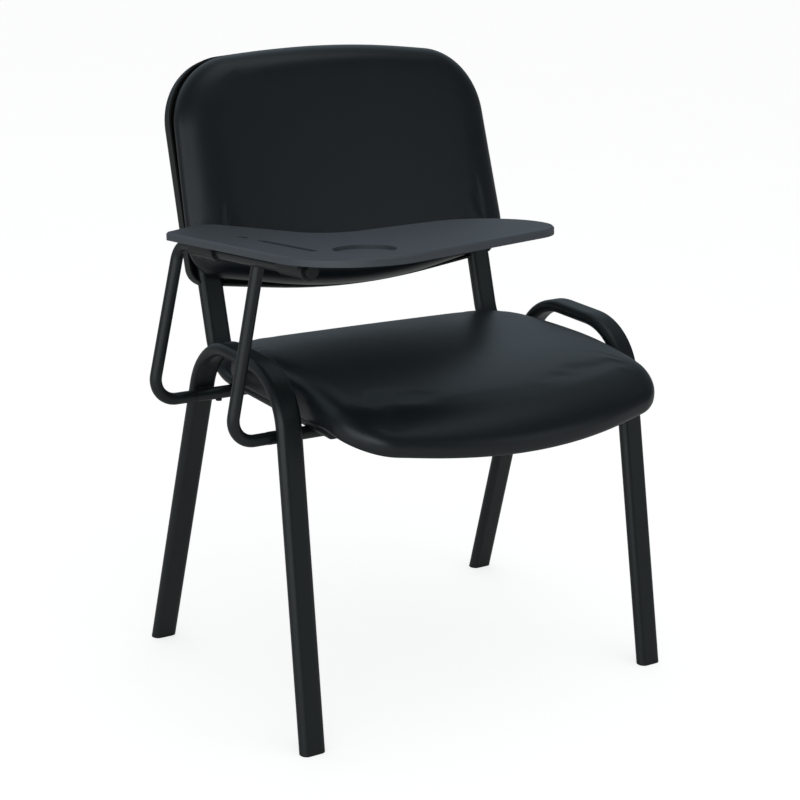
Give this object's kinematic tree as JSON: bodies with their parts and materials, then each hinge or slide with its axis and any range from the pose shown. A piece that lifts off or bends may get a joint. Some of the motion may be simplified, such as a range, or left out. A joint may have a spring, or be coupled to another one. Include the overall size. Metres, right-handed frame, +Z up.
{
  "type": "chair desk",
  "caption": "Steel-tube conference chair with a padded seat and back, a moulded back shell and a writing tablet that turns up about a rod on the sitter's right.",
  "frame": {"origin": "on the floor, under the middle of the whole chair's box", "axes": "+Z up; the sitter faces -Y; the writing tablet is on the sitter's right, towards -X"},
  "size_m": [0.6262, 0.5895, 0.7835],
  "materials": {
    "black_frame": "satin black powder coat",
    "black_plastic": "fine-grained moulded black",
    "leatherette": "smooth black leatherette with a soft sheen",
    "foam": "cut foam",
    "plywood": "bare plywood",
    "zinc_steel": "bright zinc plating",
    "slate_plastic": "fine-grained moulded slate grey"
  },
  "bodies": {
    "chair": {"right_leg_frame": "black_frame", "left_leg_frame": "black_frame", "front_cross_tube": "black_frame", "rear_cross_tube": "black_frame", "right_seat_back_tube": "black_frame", "left_seat_back_tube": "black_frame", "tablet_rear_tube": "black_frame", "tablet_front_post": "black_frame", "rear_stop_collar": "black_frame", "front_stop_collar": "black_frame", "front_right_foot_cap": "black_plastic", "front_left_foot_cap": "black_plastic", "rear_right_foot_cap": "black_plastic", "rear_left_foot_cap": "black_plastic", "cross_tube_plugs": "black_plastic", "rail_end_plugs": "black_plastic", "upright_end_plugs": "black_plastic", "seat_pan": "black_plastic", "back_shell": "black_plastic", "rod_end_cap": "black_plastic", "seat_cover": "leatherette", "back_cover": "leatherette", "seat_foam": "foam", "back_foam": "foam", "seat_board": "plywood", "back_board": "plywood", "seat_bolts": "zinc_steel", "seat_tee_nuts": "zinc_steel", "back_bolts": "zinc_steel", "back_tee_nuts": "zinc_steel", "back_shell_screws": "zinc_steel", "tablet_tube_screws": "zinc_steel"},
    "tablet": {"tablet_top": "slate_plastic", "rear_hinge_clip": "black_plastic", "front_hinge_clip": "black_plastic", "hinge_clip_screws": "zinc_steel"}
  },
  "joints": [
    {"name": "tablet_hinge", "type": "hinge", "parent": "chair", "child": "tablet", "pos_m": [-0.27509, 0.00518, 0.5803], "axis": [0, -0.9934, 0.1149], "range_deg": [0, 92]}
  ]
}
